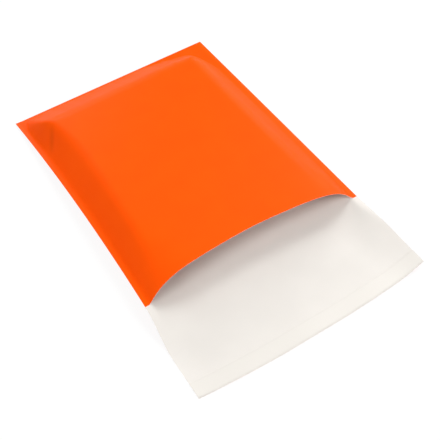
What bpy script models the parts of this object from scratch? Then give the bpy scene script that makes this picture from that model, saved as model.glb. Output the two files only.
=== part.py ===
"""A plastic film mailing bag that lies open on its back, still holding the shape of what was packed in it.

One web of film makes the whole bag. It is folded across the bottom, the two sheets are heat-welded along
both sides, and the back sheet runs on past the mouth as the lip that folds over to close the bag. A line of
hot-melt adhesive lies on the lip's inner face, under a peel-off release liner.

Frame: X across the bag, +Y from the lip towards the bottom fold, +Z up. The origin is on the table, under
the middle of the bag's box. Lengths are in metres.
"""

import bmesh
import bpy

# The bag laid flat. The film is drawn thicker than the real one, which is about 0.06 mm
BAG_WIDTH = 0.372
POCKET_LENGTH = 0.454
LIP_LENGTH = 0.142
LIP_BOW = 0.008
LIP_BOW_POWER = 2.5
WELD_WIDTH = 0.009
FILM_THICKNESS = 0.0003

# How far the filled shape draws in each side edge: at the bottom fold, half way, at the mouth and on the lip
DRAW_IN_LEFT = {"fold": 0.001, "half": 0.0065, "mouth": 0.0045, "lip": 0.0}
DRAW_IN_RIGHT = {"fold": 0.001, "half": 0.002, "mouth": 0.004, "lip": 0.0}

# How high each side edge stands over the table at the same places
LIFT_LEFT = {"fold": 0.001, "half": 0.016, "mouth": 0.018, "lip": 0.0}
LIFT_RIGHT = {"fold": 0.020, "half": 0.017, "mouth": 0.015, "lip": 0.008}
# How far down the lip each edge takes to come from its lift and its place at the mouth to those on the lip
LEFT_SETTLES = 0.080
RIGHT_SETTLES = 0.150
EDGE_WIDENS = 0.080

# How far from an edge the back sheet leaves the table
SIDE_CURL = 0.062
FOLD_CURL = 0.105

# The front sheet over what was packed: its rise above the line between the welds
CROWN_RISE = 0.0335
# Where its side slopes start and end, in from the welds' inner edges. The left one starts at its weld
LEFT_SLOPE_END = {"fold": 0.054, "half": 0.047, "mouth": 0.032}
RIGHT_SLOPE_START = {"fold": 0.007, "half": 0.002, "mouth": 0.0}
RIGHT_SLOPE_END = {"fold": 0.058, "half": 0.056, "mouth": 0.050}
# Where the slope above the fold ends near either weld. It starts past the strip pressed flat at the fold
FOLD_SLOPE_END_LEFT = 0.084
FOLD_SLOPE_END_RIGHT = 0.074
FOLD_PRESSED = 0.003
FOLD_PRESSED_BY_CORNER = 0.015
# The raised right corner is flat: how much further in its side slope starts, and how far that reaches
CORNER_FLAT = 0.016
CORNER_REACH = 0.090
CORNER_FADES = 0.030
# The left corner is filled tight: how much narrower the side slope is there, and how far that reaches
CORNER_NARROWS = 0.026
NARROWS_REACH = 0.170
# How much of each slope is straight before it rounds off
SIDE_STRAIGHT = 0.55
FOLD_STRAIGHT = 0.65
# How sharp the hips are where two slopes meet
HIP_POWER = 3.5

# How far apart the two sheets lie where nothing parts them, and how soon they reach that from where they join
SHEET_CLEARANCE = 0.0005
JOIN_REACH = 0.002

# The open mouth: its arch, which the pocket takes up over MOUTH_BLEND, and its cut edge's pull back
MOUTH_BLEND = 0.130
CROWN_OFFSET = -0.030
LEFT_ARCH_POWER = 6.0
RIGHT_ARCH_POWER = 8.0
MOUTH_PULL = 0.0149
LEFT_PULL_POWER = 1.6
RIGHT_PULL_POWER = 1.55

# The closing strip on the lip. The liner runs from edge to edge, and the adhesive stops short of both
LINER_WIDTH = 0.022
LINER_THICKNESS = 0.0002
LINER_INSET = 0.0015
ADHESIVE_WIDTH = 0.014
ADHESIVE_THICKNESS = 0.0002
ADHESIVE_END_GAP = 0.010
LAYER_CLEARANCE = 0.00025

# How finely each sheet is divided
COLUMNS_IN_SLOPE = 10
COLUMNS_ON_TOP = 8
ROWS_AT_FOLD = 14
ROWS_ON_TOP = 7
ROWS_AT_MOUTH = 5
ROWS_ON_LIP = 7
STRIP_COLUMNS = 24

FILM_ORANGE = (1.0, 0.120, 0.008, 1.0)
FILM_ROUGHNESS = 0.38
ADHESIVE_CLEAR = (0.85, 0.82, 0.70, 1.0)
ADHESIVE_ROUGHNESS = 0.25
LINER_WHITE = (0.90, 0.90, 0.88, 1.0)
LINER_ROUGHNESS = 0.35

HALF_WIDTH = BAG_WIDTH / 2
# The mouth line's place along Y, which puts the origin under the middle of the bag's length
MOUTH_Y = (LIP_LENGTH + LIP_BOW - POCKET_LENGTH) / 2


def smooth_step(t):
    """0 up to t = 0, 1 from t = 1, and a level start and end between them."""
    t = min(max(t, 0.0), 1.0)
    return t * t * (3.0 - 2.0 * t)


def mix(a, b, t):
    return a + (b - a) * t


def along_pocket(values, s):
    """A parabola through the mouth, half-way and fold values, at the distance s up the pocket."""
    t = s / POCKET_LENGTH
    bend = values["mouth"] - 2 * values["half"] + values["fold"]
    rise = 4 * values["half"] - 3 * values["mouth"] - values["fold"]
    return values["mouth"] + rise * t + 2 * bend * t * t


def along_edge(values, s, settles):
    """A side edge's value at s, the distance up the pocket from the mouth line. On the lip it is below 0."""
    if s < 0:
        return mix(values["mouth"], values["lip"], smooth_step(-s / settles))
    return along_pocket(values, s)


def left_edge(s):
    return -HALF_WIDTH + along_edge(DRAW_IN_LEFT, s, EDGE_WIDENS)


def right_edge(s):
    return HALF_WIDTH - along_edge(DRAW_IN_RIGHT, s, EDGE_WIDENS)


def left_lift(s):
    return along_edge(LIFT_LEFT, s, LEFT_SETTLES)


def right_lift(s):
    return along_edge(LIFT_RIGHT, s, RIGHT_SETTLES)


def ramp(t, straight):
    """From 0 to 1: straight up to t = straight, as film leaves a weld, then rounding off to level."""
    t = min(max(t, 0.0), 1.0)
    steepness = 2 / (1 + straight)
    if t < straight:
        return steepness * t
    return steepness * (t - (t - straight) ** 2 / (2 - 2 * straight))


def level_strip(s):
    """The width of the level strip along a side edge: the weld, which the lip's film keeps for a while."""
    return WELD_WIDTH * (1.0 - smooth_step(-s / EDGE_WIDENS))


def curl(distance, reach):
    """How much of an edge's lift the back sheet keeps at this distance in from where it starts to fall."""
    return max(1.0 - max(distance, 0.0) / reach, 0.0) ** 2


def ruled(across, s):
    """The height of a straight line between the welds. It is level over each weld.

    across runs from 0 at the left edge to 1 at the right one.
    """
    width = right_edge(s) - left_edge(s)
    between = min(max((across * width - WELD_WIDTH) / (width - 2 * WELD_WIDTH), 0.0), 1.0)
    return mix(left_lift(s), right_lift(s), between)


def back_height(across, s):
    """The back sheet's middle surface over the table: it falls from the raised edges to lie on it."""
    width = right_edge(s) - left_edge(s)
    at_left = curl(across * width - level_strip(s), SIDE_CURL)
    at_right = curl((1 - across) * width - level_strip(s), SIDE_CURL)
    at_fold = curl(POCKET_LENGTH - s, FOLD_CURL)
    sides = left_lift(s) * at_left + right_lift(s) * at_right
    return FILM_THICKNESS / 2 + mix(sides, ruled(across, s), at_fold)


def arch(across, s):
    """The mouth's arch: 1 at its crest, 0 at the welds."""
    left, right = left_edge(s) + WELD_WIDTH, right_edge(s) - WELD_WIDTH
    x = mix(left_edge(s), right_edge(s), across)
    if x < CROWN_OFFSET:
        return 1.0 - min((CROWN_OFFSET - x) / (CROWN_OFFSET - left), 1.0) ** LEFT_ARCH_POWER
    return 1.0 - min((x - CROWN_OFFSET) / (right - CROWN_OFFSET), 1.0) ** RIGHT_ARCH_POWER


def pillow(across, s):
    """The filled shape: slopes that climb from the welds and the fold and meet in hips. Its top is 1."""
    width = right_edge(s) - left_edge(s)
    from_left = across * width - WELD_WIDTH
    from_right = (1 - across) * width - WELD_WIDTH
    from_fold = POCKET_LENGTH - s
    narrows = CORNER_NARROWS * (1 - smooth_step(from_fold / NARROWS_REACH))
    left = ramp(from_left / (along_pocket(LEFT_SLOPE_END, s) - narrows), SIDE_STRAIGHT)
    near_corner = 1 - smooth_step(from_fold / CORNER_REACH)
    start = along_pocket(RIGHT_SLOPE_START, s) + CORNER_FLAT * near_corner
    end = along_pocket(RIGHT_SLOPE_END, s) + CORNER_FLAT / 2 * near_corner
    right = ramp((from_right - start) / (end - start), SIDE_STRAIGHT)
    near_corner = 1 - smooth_step((from_right - CORNER_FADES) / CORNER_REACH)
    start = mix(FOLD_PRESSED, FOLD_PRESSED_BY_CORNER, near_corner)
    end = mix(FOLD_SLOPE_END_LEFT, FOLD_SLOPE_END_RIGHT, across)
    fold = ramp((from_fold - start) / (end - start), FOLD_STRAIGHT)
    short = (1 - left) ** HIP_POWER + (1 - right) ** HIP_POWER + (1 - fold) ** HIP_POWER
    return 1.0 - min(short, 1.0) ** (1 / HIP_POWER)


def apart(across, s):
    """The least distance between the two sheets' middle surfaces. It is nothing where they join."""
    width = right_edge(s) - left_edge(s)
    from_weld = min(across, 1 - across) * width - WELD_WIDTH
    share = min(max(min(from_weld, POCKET_LENGTH - s) / JOIN_REACH, 0.0), 1.0)
    return (FILM_THICKNESS + SHEET_CLEARANCE) * share


def front_height(across, s):
    """The front sheet's middle surface: the filled shape, which turns into the mouth's arch."""
    near_mouth = smooth_step(1 - s / MOUTH_BLEND)
    dome = mix(pillow(across, s), arch(across, s), near_mouth)
    filled = FILM_THICKNESS / 2 + ruled(across, s) + CROWN_RISE * dome
    return max(filled, back_height(across, s) + apart(across, s))


def mouth_edge(across):
    """How far the mouth's cut edge is pulled back from the mouth line by the rise of the front sheet."""
    power = LEFT_PULL_POWER if across < 0.5 else RIGHT_PULL_POWER
    return MOUTH_PULL * (1.0 - abs(2 * across - 1) ** power)


def lip_edge(across):
    """How far past its corners the lip's cut edge reaches."""
    return LIP_BOW * (1.0 - abs(2 * across - 1) ** LIP_BOW_POWER)


def spread(start, end, count):
    """count evenly spaced values from start, stopping one short of end."""
    return [mix(start, end, i / count) for i in range(count)]


def column_places():
    """Where the mesh's columns lie across the bag: at the welds' inner edges, and close on the slopes."""
    weld = WELD_WIDTH / BAG_WIDTH
    left = weld + max(LEFT_SLOPE_END.values()) / BAG_WIDTH
    right = 1 - weld - (max(RIGHT_SLOPE_END.values()) + CORNER_FLAT / 2) / BAG_WIDTH
    places = [0.0]
    places += spread(weld, left, COLUMNS_IN_SLOPE)
    places += spread(left, right, COLUMNS_ON_TOP)
    places += spread(right, 1 - weld, COLUMNS_IN_SLOPE)
    return places + [1 - weld, 1.0]


def row_places():
    """Where the pocket's rows lie, from the mouth line to the bottom fold."""
    top = POCKET_LENGTH - FOLD_SLOPE_END_LEFT
    rows = spread(0.0, MOUTH_BLEND, ROWS_AT_MOUTH)
    rows += spread(MOUTH_BLEND, top, ROWS_ON_TOP)
    return rows + spread(top, POCKET_LENGTH, ROWS_AT_FOLD) + [POCKET_LENGTH]


def sheet_point(across, s, height):
    x = mix(left_edge(s), right_edge(s), across)
    return (x, MOUTH_Y + s, height(across, s))


def add_faces(bm, grid):
    """Joins a grid of vertices, row by row from the mouth to the fold, with its faces turned up."""
    for lower, upper in zip(grid, grid[1:]):
        for i in range(len(lower) - 1):
            bm.faces.new((lower[i], lower[i + 1], upper[i + 1], upper[i]))


def add_film(bm):
    """The web's middle surface: the back sheet with its lip, and the front sheet, joined on three sides.

    The front sheet shares the back sheet's vertices along the inner edges of both welds and along the fold.
    """
    columns = column_places()
    rows = row_places()
    lip_rows = [-t for t in spread(LIP_LENGTH, 0.0, ROWS_ON_LIP)]
    back = []
    for s in lip_rows:
        # The bow grows evenly from the mouth line to the lip's cut edge
        line = [sheet_point(c, s * (1 + lip_edge(c) / LIP_LENGTH), back_height) for c in columns]
        back.append([bm.verts.new(point) for point in line])
    for s in rows:
        back.append([bm.verts.new(sheet_point(c, s, back_height)) for c in columns])
    add_faces(bm, back)

    front = []
    pocket_back = back[len(lip_rows):]
    for s, behind in zip(rows, pocket_back):
        if s == POCKET_LENGTH:
            front.append(behind[1:-1])
            continue
        line = [behind[1]]
        for c in columns[2:-2]:
            pulled = s + mouth_edge(c) * smooth_step(1 - s / MOUTH_BLEND)
            line.append(bm.verts.new(sheet_point(c, pulled, front_height)))
        front.append(line + [behind[-2]])
    add_faces(bm, front)
    # The face at each bottom corner is split from the corner, so that both halves part from the back sheet
    bmesh.ops.connect_verts(bm, verts=[front[-1][0], front[-2][1]])
    bmesh.ops.connect_verts(bm, verts=[front[-1][-1], front[-2][-2]])


def add_strip(bm, inset, width, end_gap, lift):
    """The middle surface of a band on the lip's inner face, by its inset from the lip's cut edge."""
    start, end = inset / LIP_LENGTH, (inset + width) / LIP_LENGTH
    first, last = end_gap / BAG_WIDTH, 1 - end_gap / BAG_WIDTH
    columns = [mix(first, last, i / STRIP_COLUMNS) for i in range(STRIP_COLUMNS + 1)]
    grid = []
    for t in (start, (start + end) / 2, end):
        line = []
        for c in columns:
            s = -LIP_LENGTH * (1 + lip_edge(c) / LIP_LENGTH) * (1 - t)
            x, y, z = sheet_point(c, s, back_height)
            line.append(bm.verts.new((x, y, z + lift)))
        grid.append(line)
    add_faces(bm, grid)


def make_material(name, color, roughness):
    material = bpy.data.materials.new(name)
    material.use_nodes = True
    shader = material.node_tree.nodes["Principled BSDF"]
    shader.inputs["Base Color"].default_value = color
    shader.inputs["Roughness"].default_value = roughness
    shader.inputs["Metallic"].default_value = 0.0
    return material


def make_part(name, collection, bm, thickness, material):
    """An object from a middle surface, thickened evenly to both sides."""
    mesh = bpy.data.meshes.new(name)
    bm.to_mesh(mesh)
    bm.free()
    part = bpy.data.objects.new(name, mesh)
    collection.objects.link(part)
    mesh.materials.append(material)
    mesh.shade_smooth()
    wall = part.modifiers.new("wall", "SOLIDIFY")
    wall.solidify_mode = "NON_MANIFOLD"
    wall.nonmanifold_thickness_mode = "FIXED"
    wall.nonmanifold_merge_threshold = 0.00001
    wall.thickness = thickness
    wall.offset = 0.0
    return part


def clear_scene():
    for old in list(bpy.data.objects):
        bpy.data.objects.remove(old, do_unlink=True)


def main():
    clear_scene()
    collection = bpy.data.collections.new("mailing_bag")
    bpy.context.scene.collection.children.link(collection)

    film = bmesh.new()
    add_film(film)
    orange = make_material("orange_film", FILM_ORANGE, FILM_ROUGHNESS)
    make_part("mailer_film", collection, film, FILM_THICKNESS, orange)

    adhesive_lift = (FILM_THICKNESS + ADHESIVE_THICKNESS) / 2 + LAYER_CLEARANCE
    adhesive_inset = LINER_INSET + (LINER_WIDTH - ADHESIVE_WIDTH) / 2
    adhesive = bmesh.new()
    add_strip(adhesive, adhesive_inset, ADHESIVE_WIDTH, ADHESIVE_END_GAP, adhesive_lift)
    hot_melt = make_material("hot_melt_adhesive", ADHESIVE_CLEAR, ADHESIVE_ROUGHNESS)
    make_part("adhesive_strip", collection, adhesive, ADHESIVE_THICKNESS, hot_melt)

    liner_lift = adhesive_lift + (ADHESIVE_THICKNESS + LINER_THICKNESS) / 2 + LAYER_CLEARANCE
    liner = bmesh.new()
    add_strip(liner, LINER_INSET, LINER_WIDTH, 0.0, liner_lift)
    coated = make_material("coated_liner", LINER_WHITE, LINER_ROUGHNESS)
    make_part("release_liner", collection, liner, LINER_THICKNESS, coated)


main()
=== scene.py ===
"""The looks of a plastic film mailing bag that lies open on its back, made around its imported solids.

One web of film makes the whole bag: orange outside and white inside. It is folded across the bottom, the two sheets
are sealed along both sides, and the back sheet runs on past the mouth as the lip that folds over to close the bag.
A line of hot-melt adhesive lies on the lip's inner face, under a peel-off release liner. Each piece here follows
the same rules of shape as its solid, on a finer grid, with the puckers and waves of real film added.

Frame: X across the bag, +Y from the lip towards the bottom fold, +Z up. The origin is on the table, under the
middle of the bag's box. Lengths are in metres. The distance s runs up the pocket from the mouth line, and down
the lip where it is below 0.
"""

import math
import random

import bmesh
import bpy
from mathutils import Matrix, Vector


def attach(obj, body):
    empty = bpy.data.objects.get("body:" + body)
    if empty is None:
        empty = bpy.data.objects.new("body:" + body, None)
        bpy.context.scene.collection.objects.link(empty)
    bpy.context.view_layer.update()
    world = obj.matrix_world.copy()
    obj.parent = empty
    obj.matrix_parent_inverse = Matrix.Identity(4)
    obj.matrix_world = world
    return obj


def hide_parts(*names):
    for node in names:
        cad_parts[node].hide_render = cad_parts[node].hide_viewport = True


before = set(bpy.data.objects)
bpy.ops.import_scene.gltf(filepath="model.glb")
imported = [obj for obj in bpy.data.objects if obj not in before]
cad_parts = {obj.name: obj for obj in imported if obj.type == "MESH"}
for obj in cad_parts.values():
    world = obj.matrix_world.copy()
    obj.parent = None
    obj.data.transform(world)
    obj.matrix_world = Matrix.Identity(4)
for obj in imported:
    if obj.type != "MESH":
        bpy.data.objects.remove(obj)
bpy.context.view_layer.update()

# The bag laid flat, as its solids have it
BAG_WIDTH = 0.372
POCKET_LENGTH = 0.454
LIP_LENGTH = 0.142
LIP_BOW = 0.00798
LIP_BOW_POWER = 2.5
WELD_WIDTH = 0.009
FILM_THICKNESS = 0.0003
# The two sheets part softly, over this much to either side of the weld's inner edge
WELD_EASE = 0.003

# How far the filled shape draws in each side edge, and how high each edge stands over the table
DRAW_IN_LEFT = {"fold": 0.001, "half": 0.0065, "mouth": 0.0045, "lip": 0.0}
DRAW_IN_RIGHT = {"fold": 0.001, "half": 0.002, "mouth": 0.004, "lip": 0.0}
LIFT_LEFT = {"fold": 0.001, "half": 0.016, "mouth": 0.018, "lip": 0.0}
LIFT_RIGHT = {"fold": 0.020, "half": 0.017, "mouth": 0.015, "lip": 0.008}
LEFT_SETTLES = 0.080
RIGHT_SETTLES = 0.150
EDGE_WIDENS = 0.080
SIDE_CURL = 0.062
FOLD_CURL = 0.105

# The front sheet over what was packed, and the arch of the open mouth
CROWN_RISE = 0.0333
LEFT_SLOPE_END = {"fold": 0.054, "half": 0.047, "mouth": 0.032}
RIGHT_SLOPE_START = {"fold": 0.007, "half": 0.002, "mouth": 0.0}
RIGHT_SLOPE_END = {"fold": 0.058, "half": 0.056, "mouth": 0.050}
FOLD_SLOPE_END_LEFT = 0.084
FOLD_SLOPE_END_RIGHT = 0.074
FOLD_PRESSED = 0.003
FOLD_PRESSED_BY_CORNER = 0.015
CORNER_FLAT = 0.016
CORNER_REACH = 0.090
CORNER_FADES = 0.030
CORNER_NARROWS = 0.026
NARROWS_REACH = 0.170
SIDE_STRAIGHT = 0.55
FOLD_STRAIGHT = 0.65
HIP_POWER = 3.5
SHEET_CLEARANCE = 0.00015
JOIN_REACH = 0.002
MOUTH_BLEND = 0.130
CROWN_OFFSET = -0.030
LEFT_ARCH_POWER = 6.0
RIGHT_ARCH_POWER = 8.0
MOUTH_PULL = 0.0149
LEFT_PULL_POWER = 1.6
RIGHT_PULL_POWER = 1.55

# The closing strip on the lip
LINER_WIDTH = 0.022
LINER_THICKNESS = 0.0002
LINER_INSET = 0.0015
ADHESIVE_WIDTH = 0.014
ADHESIVE_THICKNESS = 0.0002
ADHESIVE_END_GAP = 0.010
LAYER_CLEARANCE = 0.00006
# The inputs of the tree that lays both bands on the lip
BAND_INPUTS = {
    "Film": "NodeSocketObject",
    "Inset": "NodeSocketFloat",
    "Width": "NodeSocketFloat",
    "End Gap": "NodeSocketFloat",
    "Lift": "NodeSocketFloat",
    "Material": "NodeSocketMaterial",
}
# Its rays start at this height, a hair in from the film's edges so that the outermost ones meet it too
RAY_HEIGHT = 0.1
RAY_SPREAD = 0.99999

HALF_WIDTH = BAG_WIDTH / 2
MOUTH_Y = (LIP_LENGTH + LIP_BOW - POCKET_LENGTH) / 2
SEAL_WIDTH = WELD_WIDTH - WELD_EASE

# The grid of the film
COLUMNS = 112
ROWS_NEAR_FOLD = 34
NEAR_FOLD = 0.070
ROWS_IN_POCKET = 100
ROWS_ON_LIP = 40
BAND_COLUMNS = 160
BAND_ROWS = 6
# A face turned by more than this against its neighbour starts a cut edge
SHARP_TURN = math.radians(50)
# The first of the film's three material slots (outer face, inner face, cut edge) for the back sheet with its lip, for
# the welds and for the front sheet
SHEET_FACES = 0
WELD_FACES = 3
FRONT_FACES = 6

# Puckers that the bottom fold and the welds leave in the front sheet: how many, how deep and how far they reach
FOLD_PUCKERS = 26
FOLD_PUCKER_DEPTH = 0.0013
FOLD_PUCKER_HALF_WIDTH = 0.0055
FOLD_PUCKER_REACH = 0.020
WELD_PUCKERS = 26
WELD_PUCKER_DEPTH = 0.0006
WELD_PUCKER_HALF_WIDTH = 0.004
WELD_PUCKER_REACH = 0.006
# The crease beside the left end of the fold: the middle of its line, its direction and its half length
CREASE_MIDDLE = Vector((-0.156, 0.3565))
CREASE_ALONG = Vector((0.485, 0.875))
CREASE_HALF_LENGTH = 0.030
CREASE_DEPTH = 0.0012
CREASE_LEFT_WIDTH = 0.012
CREASE_RIGHT_WIDTH = 0.005
# Painted shade along the crease's line: the front sheet's colour is darkened there, standing in for the crease's
# shadow
CREASE_PAINTED_SHADE_WIDTH = 0.0075
CREASE_PAINTED_SHADE_DEPTH = 0.4
# The lip doesn't lie quite flat: its waves rise towards the cut edge
LIP_WAVE_RISE = 0.0008
LIP_WAVE_LENGTH = 0.115

# Keeps a division by the gap between the sheets from being one by nothing
LEAST_GAP = 0.000001

dice = random.Random(11)


def smooth_step(t):
    """0 up to t = 0, 1 from t = 1, and a level start and end between them."""
    t = min(max(t, 0.0), 1.0)
    return t * t * (3.0 - 2.0 * t)


def mix(a, b, t):
    return a + (b - a) * t


def along_pocket(values, s):
    """A parabola through the mouth, half-way and fold values."""
    t = s / POCKET_LENGTH
    bend = values["mouth"] - 2 * values["half"] + values["fold"]
    rise = 4 * values["half"] - 3 * values["mouth"] - values["fold"]
    return values["mouth"] + rise * t + 2 * bend * t * t


def along_edge(values, s, settles):
    """A side edge's value at s: a parabola up the pocket, and an even blend down the lip."""
    if s < 0:
        return mix(values["mouth"], values["lip"], smooth_step(-s / settles))
    return along_pocket(values, s)


def left_edge(s):
    return -HALF_WIDTH + along_edge(DRAW_IN_LEFT, s, EDGE_WIDENS)


def right_edge(s):
    return HALF_WIDTH - along_edge(DRAW_IN_RIGHT, s, EDGE_WIDENS)


def left_lift(s):
    return along_edge(LIFT_LEFT, s, LEFT_SETTLES)


def right_lift(s):
    return along_edge(LIFT_RIGHT, s, RIGHT_SETTLES)


def eased(distance):
    """The distance in from a weld's inner edge, with a soft start to either side of that edge."""
    if distance <= -WELD_EASE:
        return 0.0
    if distance >= WELD_EASE:
        return distance
    return (distance + WELD_EASE) ** 2 / (4 * WELD_EASE)


def ramp(t, straight):
    """From 0 to 1: straight up to t = straight, as film leaves a weld, then rounding off to level."""
    t = min(max(t, 0.0), 1.0)
    steepness = 2 / (1 + straight)
    if t < straight:
        return steepness * t
    return steepness * (t - (t - straight) ** 2 / (2 - 2 * straight))


def curl(distance, reach):
    """How much of an edge's lift the back sheet keeps at this distance in from where it starts to fall."""
    return max(1.0 - distance / reach, 0.0) ** 2


def level_strip(s):
    """The width of the level strip along a side edge: the weld, which the lip's film keeps for a while."""
    return WELD_WIDTH * (1.0 - smooth_step(-s / EDGE_WIDENS))


def ruled(across, s):
    """The height of a straight line between the welds. It is level over each weld.

    across runs from 0 at the left edge to 1 at the right one.
    """
    width = right_edge(s) - left_edge(s)
    between = min(eased(across * width - WELD_WIDTH) / (width - 2 * WELD_WIDTH), 1.0)
    return mix(left_lift(s), right_lift(s), between)


def back_height(across, s):
    """The back sheet's middle surface over the table: it falls from the raised edges to lie on it."""
    width = right_edge(s) - left_edge(s)
    at_left = curl(eased(across * width - level_strip(s)), SIDE_CURL)
    at_right = curl(eased((1 - across) * width - level_strip(s)), SIDE_CURL)
    at_fold = curl(POCKET_LENGTH - s, FOLD_CURL)
    sides = left_lift(s) * at_left + right_lift(s) * at_right
    return FILM_THICKNESS / 2 + mix(sides, ruled(across, s), at_fold)


def arch(from_left, from_right, s):
    """The mouth's arch, by the distances in from the two welds: 1 at its crest, 0 at the welds."""
    left_span = CROWN_OFFSET - left_edge(s) - WELD_WIDTH
    right_span = right_edge(s) - WELD_WIDTH - CROWN_OFFSET
    if from_left < left_span:
        return 1.0 - (1.0 - from_left / left_span) ** LEFT_ARCH_POWER
    return 1.0 - max(1.0 - from_right / right_span, 0.0) ** RIGHT_ARCH_POWER


def pillow(across, s, from_left, from_right):
    """The filled shape: slopes that climb from the welds and the fold, and meet in hips. Its level top is 1."""
    from_fold = POCKET_LENGTH - s
    narrows = CORNER_NARROWS * (1 - smooth_step(from_fold / NARROWS_REACH))
    left = ramp(from_left / (along_pocket(LEFT_SLOPE_END, s) - narrows), SIDE_STRAIGHT)
    near_corner = 1 - smooth_step(from_fold / CORNER_REACH)
    start = along_pocket(RIGHT_SLOPE_START, s) + CORNER_FLAT * near_corner
    end = along_pocket(RIGHT_SLOPE_END, s) + CORNER_FLAT / 2 * near_corner
    right = ramp((from_right - start) / (end - start), SIDE_STRAIGHT)
    near_corner = 1 - smooth_step((from_right - CORNER_FADES) / CORNER_REACH)
    start = mix(FOLD_PRESSED, FOLD_PRESSED_BY_CORNER, near_corner)
    end = mix(FOLD_SLOPE_END_LEFT, FOLD_SLOPE_END_RIGHT, across)
    fold = ramp((from_fold - start) / (end - start), FOLD_STRAIGHT)
    short = (1 - left) ** HIP_POWER + (1 - right) ** HIP_POWER + (1 - fold) ** HIP_POWER
    return 1.0 - min(short, 1.0) ** (1 / HIP_POWER)


def apart(across, s):
    """The least distance between the two sheets' middle surfaces. It is nothing where they join."""
    width = right_edge(s) - left_edge(s)
    from_seal = min(across, 1 - across) * width - SEAL_WIDTH
    share = min(max(min(from_seal, POCKET_LENGTH - s) / JOIN_REACH, 0.0), 1.0)
    return (FILM_THICKNESS + SHEET_CLEARANCE) * share


def front_height(across, s):
    """The front sheet's middle surface: the filled shape, which turns into the mouth's arch."""
    width = right_edge(s) - left_edge(s)
    from_left = eased(across * width - WELD_WIDTH)
    from_right = eased((1 - across) * width - WELD_WIDTH)
    near_mouth = smooth_step(1 - s / MOUTH_BLEND)
    dome = mix(pillow(across, s, from_left, from_right), arch(from_left, from_right, s), near_mouth)
    smooth = FILM_THICKNESS / 2 + ruled(across, s) + CROWN_RISE * dome
    relief = front_relief(mix(left_edge(s), right_edge(s), across), s, from_left, from_right)
    # Where the two sheets come together there is less room for a pucker
    back = back_height(across, s)
    gap = max(smooth - back, 0.0)
    return max(smooth - relief * gap / (relief + gap + LEAST_GAP), back + apart(across, s))


def make_puckers(count, span, depth, half_width, reach):
    """Valleys spread along an edge with uneven gaps: (place, depth, half width, reach) of each."""
    puckers = []
    for i in range(count):
        place = mix(span[0], span[1], (i + dice.uniform(0.15, 0.85)) / count)
        size = dice.uniform(0.35, 1.0)
        width = half_width * dice.uniform(0.6, 1.5)
        puckers.append((place, depth * size, width, reach * dice.uniform(0.6, 1.5)))
    return puckers


def pucker_depth(puckers, along, away):
    """The depth of a row of puckers: nothing at the edge that makes them, most at their reach, and then it fades."""
    total = 0.0
    for place, depth, half_width, reach in puckers:
        offset = (along - place) / (half_width * (1 + away / reach / 3))
        if abs(offset) < 3:
            total += depth * math.exp(-offset * offset) * (away / reach) * math.exp(1 - away / reach)
    return total


fold_puckers = make_puckers(
    FOLD_PUCKERS, (-HALF_WIDTH, HALF_WIDTH), FOLD_PUCKER_DEPTH, FOLD_PUCKER_HALF_WIDTH, FOLD_PUCKER_REACH
)
left_puckers, right_puckers = (
    make_puckers(WELD_PUCKERS, (0.0, POCKET_LENGTH), WELD_PUCKER_DEPTH, WELD_PUCKER_HALF_WIDTH, WELD_PUCKER_REACH)
    for side in ("left", "right")
)


def crease_depth(x, s):
    """The crease beside the left end of the fold: a gentle slope on its outer side and a short one inside."""
    offset = Vector((x, s)) - CREASE_MIDDLE
    along = offset.dot(CREASE_ALONG) / CREASE_HALF_LENGTH
    across = offset.cross(CREASE_ALONG)
    width = CREASE_RIGHT_WIDTH if across > 0 else CREASE_LEFT_WIDTH
    if abs(along) >= 1 or abs(across) > 3 * width:
        return 0.0
    return CREASE_DEPTH * (1 - along * along) ** 2 * math.exp(-abs(across) / width)


def front_relief(x, s, from_left, from_right):
    """How far the film's own puckers and its crease take the front sheet down."""
    relief = pucker_depth(fold_puckers, x, max(POCKET_LENGTH - s, 0.0))
    relief += pucker_depth(left_puckers, s, from_left)
    relief += pucker_depth(right_puckers, s, from_right)
    return relief * smooth_step(min(from_left, from_right) / SEAL_WIDTH) + crease_depth(x, s)


def lip_height(across, s):
    """The lip's middle surface: the back sheet's, with slow waves that rise towards the cut edge."""
    reach = -s / LIP_LENGTH
    x = mix(left_edge(s), right_edge(s), across)
    wave = 0.5 - 0.5 * math.cos(2 * math.pi * (x + HALF_WIDTH) / LIP_WAVE_LENGTH)
    return back_height(across, s) + LIP_WAVE_RISE * wave * reach * reach


def mouth_edge(across):
    """How far the mouth's cut edge is pulled back from the mouth line by the rise of the front sheet."""
    power = LEFT_PULL_POWER if across < 0.5 else RIGHT_PULL_POWER
    return MOUTH_PULL * (1.0 - abs(2 * across - 1) ** power)


def lip_edge(across):
    """How far past its corners the lip's cut edge reaches."""
    return LIP_BOW * (1.0 - abs(2 * across - 1) ** LIP_BOW_POWER)


def sheet_point(across, s, height):
    x = mix(left_edge(s), right_edge(s), across)
    return (x, MOUTH_Y + s, height(across, s))


def add_faces(bm, grid, turned, middle_slot, side_slot):
    """Joins a grid of vertices with faces turned up or down. Its first and last columns have a slot of their own."""
    for lower, upper in zip(grid, grid[1:]):
        columns = len(lower) - 1
        for i in range(columns):
            corners = (lower[i], lower[i + 1], upper[i + 1], upper[i])
            face = bm.faces.new(corners if turned == "up" else corners[::-1])
            face.material_index = side_slot if i in (0, columns - 1) else middle_slot


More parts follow.
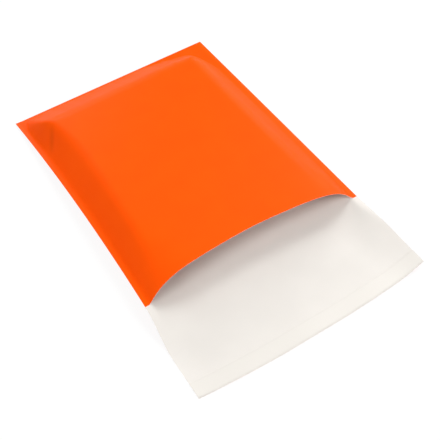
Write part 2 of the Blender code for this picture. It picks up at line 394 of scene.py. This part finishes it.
def make_film_mesh():
    """The web's middle surface, with every face turned to the outside of the bag.

    The front sheet shares the back sheet's vertices along the inner edges of both welds and along the fold.
    """
    seal = SEAL_WIDTH / BAG_WIDTH
    columns = [0.0] + [mix(seal, 1 - seal, i / COLUMNS) for i in range(COLUMNS + 1)] + [1.0]
    top = POCKET_LENGTH - NEAR_FOLD
    rows = [top * i / ROWS_IN_POCKET for i in range(ROWS_IN_POCKET)]
    rows += [top + NEAR_FOLD * i / ROWS_NEAR_FOLD for i in range(ROWS_NEAR_FOLD)] + [POCKET_LENGTH]
    lip_rows = [-LIP_LENGTH * (1 - i / ROWS_ON_LIP) for i in range(ROWS_ON_LIP)]
    bm = bmesh.new()
    lip = []
    for s in lip_rows:
        line = [sheet_point(c, s * (1 + lip_edge(c) / LIP_LENGTH), lip_height) for c in columns]
        lip.append([bm.verts.new(point) for point in line])
    back = [[bm.verts.new(sheet_point(c, s, back_height)) for c in columns] for s in rows]
    add_faces(bm, lip + back[:1], "down", SHEET_FACES, SHEET_FACES)
    add_faces(bm, back, "down", SHEET_FACES, WELD_FACES)
    front = []
    for s, behind in zip(rows, back):
        if s == POCKET_LENGTH:
            front.append(behind[1:-1])
            continue
        line = [behind[1]]
        for c in columns[2:-2]:
            pulled = s + mouth_edge(c) * smooth_step(1 - s / MOUTH_BLEND)
            line.append(bm.verts.new(sheet_point(c, pulled, front_height)))
        front.append(line + [behind[-2]])
    add_faces(bm, front, "up", FRONT_FACES, FRONT_FACES)
    # The face at each bottom corner is split from the corner, so that both halves part from the back sheet
    bmesh.ops.connect_verts(bm, verts=[front[-1][0], front[-2][1]])
    bmesh.ops.connect_verts(bm, verts=[front[-1][-1], front[-2][-2]])
    mesh = bpy.data.meshes.new("film_middle")
    bm.to_mesh(mesh)
    bm.free()
    return mesh


def add_node(tree, kind, inputs=None, **settings):
    """Adds a node with its settings, and gives each named input a value or a link from another node's output."""
    node = tree.nodes.new(kind)
    for name, value in settings.items():
        setattr(node, name, value)
    for name, value in (inputs or {}).items():
        if isinstance(value, bpy.types.NodeSocket):
            tree.links.new(value, node.inputs[name])
        else:
            node.inputs[name].default_value = value
    return node


def make_band_tree():
    """A band laid on the lip's inner face, along its bowed cut edge.

    It starts as a flat grid across the bag. Its rows are moved in from the cut edge, a ray straight down finds the
    film under each point, and the point is lifted off it.
    """
    tree = bpy.data.node_groups.new("band_on_the_lip", "GeometryNodeTree")
    for name, kind in BAND_INPUTS.items():
        tree.interface.new_socket(name, in_out="INPUT", socket_type=kind)
    tree.interface.new_socket("Band", in_out="OUTPUT", socket_type="NodeSocketGeometry")
    given = add_node(tree, "NodeGroupInput").outputs

    def maths(operation, *values):
        return add_node(tree, "ShaderNodeMath", dict(enumerate(values)), operation=operation).outputs[0]

    length = maths("MULTIPLY_ADD", given["End Gap"], -2.0, BAG_WIDTH)
    grid = add_node(
        tree,
        "GeometryNodeMeshGrid",
        {"Size X": length, "Size Y": 1.0, "Vertices X": BAND_COLUMNS + 1, "Vertices Y": BAND_ROWS + 1},
    )
    place = add_node(tree, "GeometryNodeInputPosition")
    flat = add_node(tree, "ShaderNodeSeparateXYZ", {0: place.outputs[0]}).outputs
    # The share of the lip's length between the cut edge and a row
    row = maths("ADD", flat["Y"], 0.5)
    in_from_edge = maths("DIVIDE", maths("MULTIPLY_ADD", given["Width"], row, given["Inset"]), LIP_LENGTH)
    # The lip's length at this place, with the bow of its cut edge
    aside = maths("POWER", maths("DIVIDE", maths("ABSOLUTE", flat["X"]), HALF_WIDTH), LIP_BOW_POWER)
    lip_here = maths("MULTIPLY_ADD", aside, -LIP_BOW, LIP_LENGTH + LIP_BOW)
    down_lip = maths("MULTIPLY", lip_here, maths("SUBTRACT", 1.0, in_from_edge))
    y = maths("SUBTRACT", MOUTH_Y, down_lip)
    over_film = add_node(
        tree, "ShaderNodeCombineXYZ", {"X": maths("MULTIPLY", flat["X"], RAY_SPREAD), "Y": y, "Z": RAY_HEIGHT}
    )
    film = add_node(tree, "GeometryNodeObjectInfo", {"Object": given["Film"]})
    ray = add_node(
        tree,
        "GeometryNodeRaycast",
        {
            "Target Geometry": film.outputs["Geometry"],
            "Source Position": over_film.outputs["Vector"],
            "Ray Direction": (0.0, 0.0, -1.0),
            "Ray Length": 2 * RAY_HEIGHT,
        },
    )
    under = add_node(tree, "ShaderNodeSeparateXYZ", {0: ray.outputs["Hit Position"]}).outputs
    laid = add_node(
        tree, "ShaderNodeCombineXYZ", {"X": flat["X"], "Y": y, "Z": maths("ADD", under["Z"], given["Lift"])}
    )
    band = add_node(
        tree, "GeometryNodeSetPosition", {"Geometry": grid.outputs["Mesh"], "Position": laid.outputs["Vector"]}
    )
    real = add_node(tree, "GeometryNodeRealizeInstances", {"Geometry": band.outputs["Geometry"]})
    coated = add_node(
        tree, "GeometryNodeSetMaterial", {"Geometry": real.outputs["Geometry"], "Material": given["Material"]}
    )
    add_node(tree, "NodeGroupOutput", {"Band": coated.outputs["Geometry"]})
    return tree


def evaluated_mesh(holder):
    """A plain mesh of what an object's modifiers make. The object isn't kept."""
    mesh = bpy.data.meshes.new_from_object(holder.evaluated_get(bpy.context.evaluated_depsgraph_get()))
    bpy.data.objects.remove(holder)
    return mesh


def make_band_mesh(tree, values):
    """The middle surface of one band, by the tree and the values for its inputs."""
    holder = bpy.data.objects.new("band_draft", bpy.data.meshes.new("band_draft"))
    laid = holder.modifiers.new("laid_on_the_lip", "NODES")
    laid.node_group = tree
    for item in tree.interface.items_tree:
        if item.in_out == "INPUT":
            laid[item.identifier] = values[item.name]
    bpy.context.scene.collection.objects.link(holder)
    middle = evaluated_mesh(holder)
    # The grid's own first slot is empty
    middle.materials.pop(index=0)
    return middle


def thickened(name, middle, thickness):
    """A closed piece from a middle surface, with its cut edges kept sharp.

    Where the surface has more slots than one, they run: outer face, inner face, cut edge.
    """
    draft = bpy.data.objects.new(name + "_draft", middle)
    bpy.context.scene.collection.objects.link(draft)
    wall = draft.modifiers.new("wall", "SOLIDIFY")
    wall.solidify_mode = "NON_MANIFOLD"
    wall.nonmanifold_thickness_mode = "FIXED"
    wall.nonmanifold_merge_threshold = 0.00001
    wall.thickness = thickness
    wall.offset = 0.0
    wall.material_offset = 1
    wall.material_offset_rim = 2
    solid = evaluated_mesh(draft)
    solid.name = name
    piece = bpy.data.objects.new(name, solid)
    bpy.context.scene.collection.objects.link(piece)
    solid.shade_smooth()
    solid.set_sharp_from_angle(angle=SHARP_TURN)
    return piece


# Each finish's colour and the slightly deeper one that it clouds to
ORANGE = ("#ff5606", "#fe5406")
WHITE = ("#e0dcd6", "#dedad4")
CUT_EDGE = ("#f4ddd0", "#efd6c8")
MELT = ("#efe9d2", "#e6dfc4")
LINER = ("#d9d5cf", "#d7d3cc")
# The front sheet's colour along the crease's line, darkened as painted shade
CREASE_PAINTED_SHADE_ORANGE = "#dc4803"
POLYETHYLENE_IOR = 1.51
# Sizes of the film's patterns. The real grain is finer, and is drawn as coarse as it needs to show
CLOUD_SIZE = 0.045
STREAK_LENGTH = 0.150
STREAK_SPACING = 0.003
STREAK_ROUGHNESS = 0.03
RIPPLE_SIZE = 0.014
RIPPLE_DEPTH = 0.0003
GRAIN_SIZE = 0.0007
GRAIN_DEPTH = 0.00003
SPECK_DEPTH = 0.00003


def srgb(code):
    """A linear colour from its sRGB hex code."""
    values = [int(code[i:i + 2], 16) / 255 for i in (1, 3, 5)]
    return tuple(v / 12.92 if v <= 0.04045 else ((v + 0.055) / 1.055) ** 2.4 for v in values) + (1.0,)


def new_material(name):
    material = bpy.data.materials.new(name)
    material.use_nodes = True
    material.node_tree.nodes.clear()
    return material, material.node_tree


def crease_painted_shade(tree, place):
    """How much of the painted shade along the crease's line a place gets: all of it on the line, and none past its
    width and its ends.
    """
    middle = (CREASE_MIDDLE.x, MOUTH_Y + CREASE_MIDDLE.y, 0.0)
    offset = add_node(tree, "ShaderNodeVectorMath", {0: place, 1: middle}, operation="SUBTRACT")
    shares = []
    for way, reach in ((CREASE_ALONG, CREASE_HALF_LENGTH), (CREASE_ALONG.orthogonal(), CREASE_PAINTED_SHADE_WIDTH)):
        part = add_node(
            tree,
            "ShaderNodeVectorMath",
            {0: offset.outputs["Vector"], 1: (way.x, way.y, 0.0)},
            operation="DOT_PRODUCT",
        )
        size = add_node(tree, "ShaderNodeMath", {0: part.outputs["Value"]}, operation="ABSOLUTE")
        share = add_node(
            tree,
            "ShaderNodeMapRange",
            {"Value": size.outputs["Value"], "From Max": reach, "To Min": 1.0, "To Max": 0.0},
            interpolation_type="SMOOTHSTEP",
        )
        shares.append(share.outputs["Result"])
    return add_node(tree, "ShaderNodeMath", {0: shares[0], 1: shares[1]}, operation="MULTIPLY")


def film_tint(tree, place, colours, crease_shade_colour):
    """Soft clouds between a colour and a slightly deeper one. The front sheet's also has painted shade: it is
    darkened along the crease's line.
    """
    cloud = add_node(tree, "ShaderNodeTexNoise", {"Vector": place, "Scale": 1 / CLOUD_SIZE, "Detail": 2.0})
    share = add_node(
        tree, "ShaderNodeMapRange", {"Value": cloud.outputs["Fac"], "From Min": 0.35, "From Max": 0.65}
    )
    tint = add_node(
        tree,
        "ShaderNodeMix",
        {0: share.outputs["Result"], 6: srgb(colours[0]), 7: srgb(colours[1])},
        data_type="RGBA",
    )
    # Painted shade: the colour darkens along the crease's line
    if crease_shade_colour:
        line = crease_painted_shade(tree, place)
        depth = add_node(
            tree, "ShaderNodeMath", {0: line.outputs["Value"], 1: CREASE_PAINTED_SHADE_DEPTH}, operation="MULTIPLY"
        )
        tint = add_node(
            tree,
            "ShaderNodeMix",
            {0: depth.outputs["Value"], 6: tint.outputs[2], 7: srgb(crease_shade_colour)},
            data_type="RGBA",
        )
    return tint.outputs[2]


def film_shine(tree, place, roughness):
    """Roughness that varies in streaks. The web ran across the bag as it was made, so they lie along X."""
    stretched = add_node(
        tree,
        "ShaderNodeMapping",
        {"Vector": place, "Scale": (1 / STREAK_LENGTH, 1 / STREAK_SPACING, 1 / STREAK_SPACING)},
    )
    streak = add_node(
        tree, "ShaderNodeTexNoise", {"Vector": stretched.outputs["Vector"], "Scale": 1.0, "Detail": 2.0}
    )
    shine = add_node(
        tree,
        "ShaderNodeMapRange",
        {
            "Value": streak.outputs["Fac"],
            "From Min": 0.3,
            "From Max": 0.7,
            "To Min": roughness - STREAK_ROUGHNESS,
            "To Max": roughness + STREAK_ROUGHNESS,
        },
    )
    return shine.outputs["Result"]


def film_grain(tree, place):
    """A fine waxy grain over slack ripples."""
    ripple = add_node(tree, "ShaderNodeTexNoise", {"Vector": place, "Scale": 1 / RIPPLE_SIZE, "Detail": 1.0})
    rippled = add_node(
        tree, "ShaderNodeBump", {"Height": ripple.outputs["Fac"], "Strength": 0.25, "Distance": RIPPLE_DEPTH}
    )
    grain = add_node(tree, "ShaderNodeTexNoise", {"Vector": place, "Scale": 1 / GRAIN_SIZE, "Detail": 1.0})
    grained = add_node(
        tree,
        "ShaderNodeBump",
        {
            "Height": grain.outputs["Fac"],
            "Normal": rippled.outputs["Normal"],
            "Strength": 0.4,
            "Distance": GRAIN_DEPTH,
        },
    )
    return grained.outputs["Normal"]


def film_skin(name, colours, roughness, specular, light_through, crease_shade_colour=None):
    """One skin of blown polyethylene film: a waxy sheen, and some of the light behind it comes through."""
    material, tree = new_material(name)
    place = add_node(tree, "ShaderNodeTexCoord").outputs["Object"]
    tint = film_tint(tree, place, colours, crease_shade_colour)
    film = add_node(
        tree,
        "ShaderNodeBsdfPrincipled",
        {
            "Base Color": tint,
            "Roughness": film_shine(tree, place, roughness),
            "IOR": POLYETHYLENE_IOR,
            "Specular IOR Level": specular,
            "Normal": film_grain(tree, place),
        },
    )
    glow = add_node(tree, "ShaderNodeBsdfTranslucent", {"Color": tint})
    both = add_node(
        tree,
        "ShaderNodeMixShader",
        {0: light_through, 1: film.outputs["BSDF"], 2: glow.outputs["BSDF"]},
    )
    add_node(tree, "ShaderNodeOutputMaterial", {"Surface": both.outputs["Shader"]})
    return material


def plain_coat(name, colours, roughness, specular, speck):
    """A thin even layer with faint specks of its own size."""
    material, tree = new_material(name)
    place = add_node(tree, "ShaderNodeTexCoord").outputs["Object"]
    specks = add_node(tree, "ShaderNodeTexNoise", {"Vector": place, "Scale": 1 / speck, "Detail": 2.0})
    tint = add_node(
        tree,
        "ShaderNodeMix",
        {0: specks.outputs["Fac"], 6: srgb(colours[0]), 7: srgb(colours[1])},
        data_type="RGBA",
    )
    surface = add_node(
        tree, "ShaderNodeBump", {"Height": specks.outputs["Fac"], "Strength": 0.3, "Distance": SPECK_DEPTH}
    )
    coat = add_node(
        tree,
        "ShaderNodeBsdfPrincipled",
        {
            "Base Color": tint.outputs[2],
            "Roughness": roughness,
            "Specular IOR Level": specular,
            "Normal": surface.outputs["Normal"],
        },
    )
    add_node(tree, "ShaderNodeOutputMaterial", {"Surface": coat.outputs["BSDF"]})
    return material


def make_film(middle):
    """The whole web: back sheet, lip, welds and front sheet."""
    orange = film_skin("orange_polyethylene_film", ORANGE, roughness=0.48, specular=0.02, light_through=0.06)
    white = film_skin("white_polyethylene_film", WHITE, roughness=0.46, specular=0.06, light_through=0.06)
    weld = film_skin("welded_polyethylene_film", ORANGE, roughness=0.44, specular=0.02, light_through=0.04)
    # The front sheet has light behind it, and a warm glow comes through to the inside of the mouth
    # Its colour is also darkened along the crease's line, as painted shade
    lit_orange = film_skin(
        "lit_orange_polyethylene_film",
        ORANGE,
        roughness=0.48,
        specular=0.02,
        light_through=0.10,
        crease_shade_colour=CREASE_PAINTED_SHADE_ORANGE,
    )
    lit_white = film_skin(
        "lit_white_polyethylene_film", WHITE, roughness=0.46, specular=0.06, light_through=0.50
    )
    # Cut edges show both skins at once, as a pale peach line
    cut = plain_coat("cut_polyethylene_edge", CUT_EDGE, roughness=0.5, specular=0.1, speck=0.0005)
    for material in (orange, white, cut, weld, weld, cut, lit_orange, lit_white, cut):
        middle.materials.append(material)
    film = thickened("film_bag", middle, FILM_THICKNESS)
    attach(film, "root")
    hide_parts("mailer_film")


def make_closing_strip(film_middle):
    """The adhesive line and the liner over it, both laid on the lip."""
    lip_film = bpy.data.objects.new("lip_film", film_middle)
    bpy.context.scene.collection.objects.link(lip_film)
    tree = make_band_tree()

    # Clear glue with a wet gloss
    melt = plain_coat("hot_melt_adhesive", MELT, roughness=0.2, specular=0.5, speck=0.002)
    adhesive_lift = (FILM_THICKNESS + ADHESIVE_THICKNESS) / 2 + LAYER_CLEARANCE
    adhesive_middle = make_band_mesh(
        tree,
        {
            "Film": lip_film,
            "Inset": LINER_INSET + (LINER_WIDTH - ADHESIVE_WIDTH) / 2,
            "Width": ADHESIVE_WIDTH,
            "End Gap": ADHESIVE_END_GAP,
            "Lift": adhesive_lift,
            "Material": melt,
        },
    )
    adhesive = thickened("hot_melt_line", adhesive_middle, ADHESIVE_THICKNESS)
    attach(adhesive, "root")
    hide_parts("adhesive_strip")

    # Thin white plastic, a touch shinier than the film
    coated = plain_coat("silicone_coated_liner", LINER, roughness=0.40, specular=0.10, speck=0.0008)
    liner_middle = make_band_mesh(
        tree,
        {
            "Film": lip_film,
            "Inset": LINER_INSET,
            "Width": LINER_WIDTH,
            "End Gap": 0.0,
            "Lift": adhesive_lift + (ADHESIVE_THICKNESS + LINER_THICKNESS) / 2 + LAYER_CLEARANCE,
            "Material": coated,
        },
    )
    liner = thickened("peel_off_liner", liner_middle, LINER_THICKNESS)
    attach(liner, "root")
    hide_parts("release_liner")

    bpy.data.objects.remove(lip_film)


FLOOR_SIDE = 12.0
FLOOR_DROP = 0.0004
# How much of the floor's look is plain white, so that only a faint shadow stays on it
FLOOR_WHITE_SHARE = 0.88
# Further out it fades to plain white
FLOOR_FADES = (0.5, 1.3)


def make_floor():
    """A white table. Seen directly it is nearly pure white and keeps a faint, soft shadow."""
    bm = bmesh.new()
    bmesh.ops.create_grid(bm, x_segments=1, y_segments=1, size=FLOOR_SIDE / 2)
    bmesh.ops.translate(bm, verts=bm.verts, vec=(0, 0, -FLOOR_DROP))
    mesh = bpy.data.meshes.new("white_table")
    bm.to_mesh(mesh)
    bm.free()
    floor = bpy.data.objects.new("white_table", mesh)
    bpy.context.scene.collection.objects.link(floor)
    material, tree = new_material("white_table_paper")
    seen = add_node(tree, "ShaderNodeLightPath")
    paper = add_node(tree, "ShaderNodeBsdfDiffuse", {"Color": srgb("#f2f2f2")})
    white = add_node(tree, "ShaderNodeEmission", {"Color": (1, 1, 1, 1), "Strength": 1.0})
    place = add_node(tree, "ShaderNodeTexCoord").outputs["Object"]
    away = add_node(tree, "ShaderNodeVectorMath", {0: place}, operation="LENGTH")
    whiteness = add_node(
        tree,
        "ShaderNodeMapRange",
        {
            "Value": away.outputs["Value"],
            "From Min": FLOOR_FADES[0],
            "From Max": FLOOR_FADES[1],
            "To Min": FLOOR_WHITE_SHARE,
            "To Max": 1.0,
        },
    )
    share = add_node(
        tree,
        "ShaderNodeMath",
        {0: seen.outputs["Is Camera Ray"], 1: whiteness.outputs["Result"]},
        operation="MULTIPLY",
    )
    both = add_node(
        tree,
        "ShaderNodeMixShader",
        {0: share.outputs["Value"], 1: paper.outputs["BSDF"], 2: white.outputs["Emission"]},
    )
    add_node(tree, "ShaderNodeOutputMaterial", {"Surface": both.outputs["Shader"]})
    mesh.materials.append(material)


# The studio's soft lamps, all facing the bag from one distance: the way each stands, in degrees round from the
# fold's side towards the bag's right and up from the table, its width and height, and its power in watts
BAG_MIDDLE = Vector((0.0, 0.0, 0.03))
LAMP_DISTANCE = 2.2
LAMPS = {
    "low_back_strip": {"round": 0, "up": 18, "size": (0.9, 0.6), "power": 20.4},
    "low_right_strip": {"round": 60, "up": 18, "size": (0.9, 0.6), "power": 19.1},
    "high_right_softbox": {"round": 60, "up": 50, "size": (0.9, 0.9), "power": 21.8},
    "front_right_softbox": {"round": 150, "up": 30, "size": (0.9, 0.9), "power": 21.5},
    "front_left_softbox": {"round": -120, "up": 50, "size": (0.9, 0.9), "power": 25.3},
}
ROOM_LIGHT = 0.22


def make_lights():
    for name, lamp in LAMPS.items():
        turn, up = math.radians(lamp["round"]), math.radians(lamp["up"])
        away = Vector((math.sin(turn) * math.cos(up), math.cos(turn) * math.cos(up), math.sin(up)))
        light = bpy.data.lights.new(name, "AREA")
        light.shape = "RECTANGLE"
        light.size, light.size_y = lamp["size"]
        light.energy = lamp["power"]
        holder = bpy.data.objects.new(name, light)
        holder.location = BAG_MIDDLE + away * LAMP_DISTANCE
        holder.rotation_euler = (-away).to_track_quat("-Z", "Y").to_euler()
        bpy.context.scene.collection.objects.link(holder)
    world = bpy.data.worlds.new("white_room")
    world.use_nodes = True
    tree = world.node_tree
    tree.nodes.clear()
    seen = add_node(tree, "ShaderNodeLightPath")
    # Seen directly the room is plain white, and it lights the bag at a lower level
    level = add_node(
        tree,
        "ShaderNodeMapRange",
        {"Value": seen.outputs["Is Camera Ray"], "To Min": ROOM_LIGHT, "To Max": 1.0},
    )
    room = add_node(
        tree, "ShaderNodeBackground", {"Color": (1, 1, 1, 1), "Strength": level.outputs["Result"]}
    )
    add_node(tree, "ShaderNodeOutputWorld", {"Surface": room.outputs["Background"]})
    bpy.context.scene.world = world


# The camera, as worked out from the bag's corners in the photograph's frame
CAMERA_PLACE = Vector((-0.3582, -0.6248, 0.7923))
CAMERA_AZIMUTH = -0.5595
CAMERA_ELEVATION = 0.8778
CAMERA_ROLL = -0.0171
CAMERA_LENS = 56.2


def make_camera():
    camera = bpy.data.cameras.new("camera")
    camera.lens = CAMERA_LENS
    camera.sensor_width = 36.0
    camera.clip_end = 50.0
    holder = bpy.data.objects.new("camera", camera)
    backward = Vector((
        math.sin(CAMERA_AZIMUTH) * math.cos(CAMERA_ELEVATION),
        -math.cos(CAMERA_AZIMUTH) * math.cos(CAMERA_ELEVATION),
        math.sin(CAMERA_ELEVATION),
    ))
    level_right = (-backward).cross(Vector((0, 0, 1))).normalized()
    level_up = level_right.cross(-backward)
    right = level_right * math.cos(CAMERA_ROLL) + level_up * math.sin(CAMERA_ROLL)
    up = level_up * math.cos(CAMERA_ROLL) - level_right * math.sin(CAMERA_ROLL)
    turn = Matrix((right, up, backward)).transposed().to_4x4()
    holder.matrix_world = Matrix.Translation(CAMERA_PLACE) @ turn
    bpy.context.scene.collection.objects.link(holder)
    bpy.context.scene.camera = holder


make_camera()
film_middle = make_film_mesh()
make_film(film_middle)
make_closing_strip(film_middle)
make_floor()
make_lights()
bpy.context.scene.view_settings.view_transform = "Standard"
